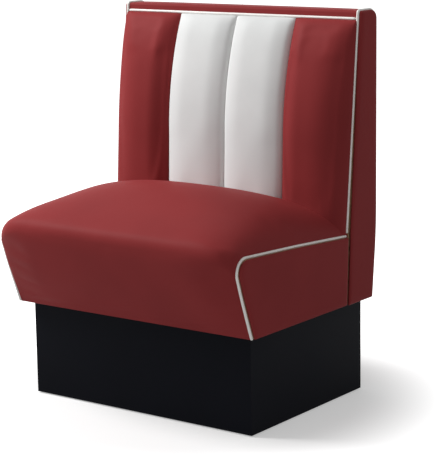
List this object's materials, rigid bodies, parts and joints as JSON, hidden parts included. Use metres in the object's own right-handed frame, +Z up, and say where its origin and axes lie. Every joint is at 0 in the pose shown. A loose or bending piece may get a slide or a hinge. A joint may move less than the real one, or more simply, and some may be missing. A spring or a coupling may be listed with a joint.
{
  "type": "restaurant booth seating",
  "caption": "Single booth bench with a crowned seat cushion, a channelled back in two colours of vinyl, white welts and a black box plinth on levelling glides.",
  "frame": {"origin": "on the floor, below the middle of the booth's bounding box", "axes": "+Z up, -Y towards the front of the seat, +X to the right as seen from the front"},
  "size_m": [0.7, 0.59, 0.926],
  "materials": {
    "red_vinyl": "satin",
    "white_vinyl": "satin",
    "welt_vinyl": "satin",
    "black_laminate": "satin",
    "foam": "matte",
    "felt": "matte",
    "plywood": "matte",
    "softwood": "matte",
    "spring_steel": "satin",
    "zinc_steel": "satin",
    "black_nylon": "matte"
  },
  "bodies": {
    "booth": {"seat_cover": "red_vinyl", "back_channel_red_left": "red_vinyl", "back_channel_red_right": "red_vinyl", "back_top_band": "red_vinyl", "back_rear_cover": "red_vinyl", "seat_side_panel_left": "red_vinyl", "seat_side_panel_right": "red_vinyl", "back_side_panel_left": "red_vinyl", "back_side_panel_right": "red_vinyl", "back_channel_white_left": "white_vinyl", "back_channel_white_right": "white_vinyl", "back_welt_top": "welt_vinyl", "seat_welt_left": "welt_vinyl", "seat_welt_right": "welt_vinyl", "back_welt_left": "welt_vinyl", "back_welt_right": "welt_vinyl", "seat_foam": "foam", "back_channel_fills": "foam", "back_lumbar_pad": "foam", "back_top_foam": "foam", "seat_spring_pad": "felt", "seat_base_board": "plywood", "back_base_board": "plywood", "back_deck_board": "plywood", "back_rear_board": "plywood", "seat_side_board_left": "plywood", "seat_side_board_right": "plywood", "back_side_board_left": "plywood", "back_side_board_right": "plywood", "seat_front_rail": "softwood", "seat_rear_rail": "softwood", "seat_glue_blocks": "softwood", "back_top_rail": "softwood", "back_middle_rail": "softwood", "back_lower_rail": "softwood", "plinth_centre_stretcher": "softwood", "plinth_corner_blocks": "softwood", "plinth_top_cleats": "softwood", "plinth_front_panel": "black_laminate", "plinth_rear_panel": "black_laminate", "plinth_side_panel_left": "black_laminate", "plinth_side_panel_right": "black_laminate", "seat_springs": "spring_steel", "seat_spring_clips": "zinc_steel", "plinth_screws": "zinc_steel", "unit_bolts": "zinc_steel", "unit_nuts": "zinc_steel", "unit_washers": "zinc_steel", "leveller_nuts": "zinc_steel"},
    "leveller_front_left": {"leveller_stud_front_left": "zinc_steel", "leveller_pad_front_left": "black_nylon"},
    "leveller_front_right": {"leveller_stud_front_right": "zinc_steel", "leveller_pad_front_right": "black_nylon"},
    "leveller_rear_left": {"leveller_stud_rear_left": "zinc_steel", "leveller_pad_rear_left": "black_nylon"},
    "leveller_rear_right": {"leveller_stud_rear_right": "zinc_steel", "leveller_pad_rear_right": "black_nylon"}
  },
  "joints": [
    {"name": "leveller_front_left_slide", "type": "slide", "parent": "booth", "child": "leveller_front_left", "axis": [0, 0, -1], "range_m": [-0.003, 0.012]},
    {"name": "leveller_front_right_slide", "type": "slide", "parent": "booth", "child": "leveller_front_right", "axis": [0, 0, -1], "range_m": [-0.003, 0.012]},
    {"name": "leveller_rear_left_slide", "type": "slide", "parent": "booth", "child": "leveller_rear_left", "axis": [0, 0, -1], "range_m": [-0.003, 0.012]},
    {"name": "leveller_rear_right_slide", "type": "slide", "parent": "booth", "child": "leveller_rear_right", "axis": [0, 0, -1], "range_m": [-0.003, 0.012]}
  ]
}
